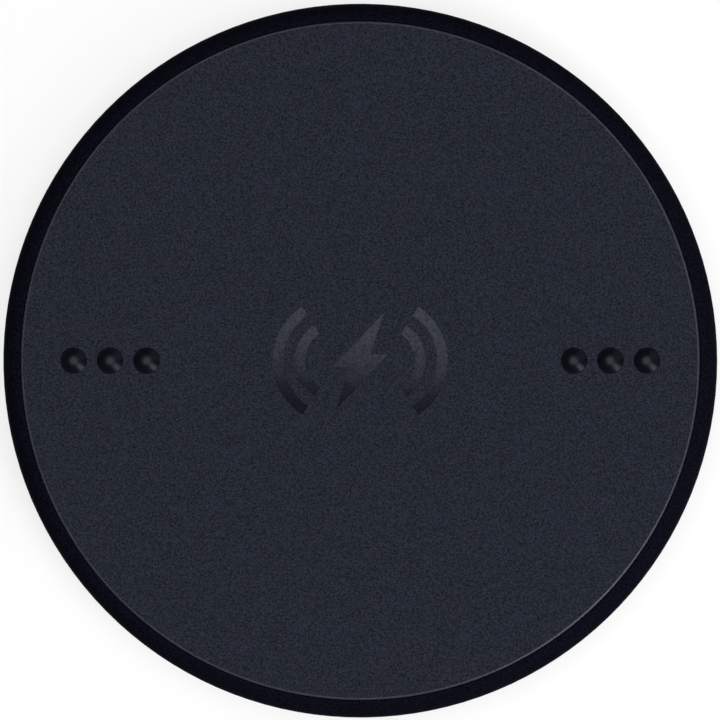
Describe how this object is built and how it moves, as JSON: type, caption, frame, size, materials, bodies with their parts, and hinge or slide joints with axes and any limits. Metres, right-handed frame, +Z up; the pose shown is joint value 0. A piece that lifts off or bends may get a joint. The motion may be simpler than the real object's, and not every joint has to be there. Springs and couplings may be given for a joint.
{
  "type": "wireless charging pad",
  "caption": "Round low wireless charging pad with a grained slate top, dark bulged rim, two rows of grip nubs, a charging icon and a USB-C inlet.",
  "frame": {"origin": "on the table under the middle of the round case, at the underside of the foot ring", "axes": "+Z up, +Y towards the USB-C inlet at the back, +X to the right of someone facing the pad from the front"},
  "size_m": [0.1, 0.1, 0.0098],
  "materials": {
    "case_plastic": "fine satin moulding, nearly black",
    "pad_soft_touch": "fine-grained soft-touch slate grey",
    "icon_ink": "satin inlay, lighter at the top than at the bottom",
    "nub_silicone": "smooth silicone",
    "foot_rubber": "matt rubber",
    "label_film": "blank satin film",
    "adhesive_white": "translucent adhesive sheet",
    "adhesive_amber": "amber film",
    "screw_steel": "zinc-plated steel",
    "board_laminate": "green solder mask",
    "shell_steel": "drawn stainless steel",
    "socket_resin": "black glass-filled resin",
    "contact_gold": "gold plating",
    "chip_epoxy": "black moulding compound",
    "capacitor_ceramic": "tan ceramic with tinned ends",
    "inductor_ferrite": "pressed iron powder",
    "resistor_film": "black coated ceramic with tinned ends",
    "crystal_can": "nickel-plated lid",
    "solder_tin": "bright solder",
    "led_resin": "pale phosphor resin",
    "guide_clear": "clear polycarbonate",
    "ferrite_black": "sintered ferrite, matt dark grey",
    "coil_copper": "enamelled copper",
    "sensor_glass": "epoxy bead on enamelled wires",
    "gap_pad_silicone": "soft blue silicone"
  },
  "bodies": {
    "root": {"upper_case": "case_plastic", "lower_case": "case_plastic", "top_pad": "pad_soft_touch", "pad_adhesive_sheet": "adhesive_white", "charging_icon": "icon_ink", "grip_nubs": "nub_silicone", "foot_ring": "foot_rubber", "foot_adhesive_ring": "adhesive_white", "case_screws": "screw_steel", "board_screws": "screw_steel", "circuit_board": "board_laminate", "usb_shell": "shell_steel", "usb_tongue": "socket_resin", "usb_contacts": "contact_gold", "controller_chip": "chip_epoxy", "bridge_driver_chips": "chip_epoxy", "usb_pd_chip": "chip_epoxy", "resonant_capacitors": "capacitor_ceramic", "input_capacitors": "capacitor_ceramic", "power_inductor": "inductor_ferrite", "sense_resistor": "resistor_film", "clock_crystal": "crystal_can", "small_passives": "capacitor_ceramic", "lead_solder": "solder_tin", "status_led": "led_resin", "light_guide": "guide_clear", "ferrite_disc": "ferrite_black", "ferrite_tape": "adhesive_white", "coil_adhesive_film": "adhesive_amber", "transmitter_coil": "coil_copper", "coil_leads": "coil_copper", "temperature_sensor": "sensor_glass", "thermal_gap_pad": "gap_pad_silicone", "base_label": "label_film"}
  },
  "joints": []
}
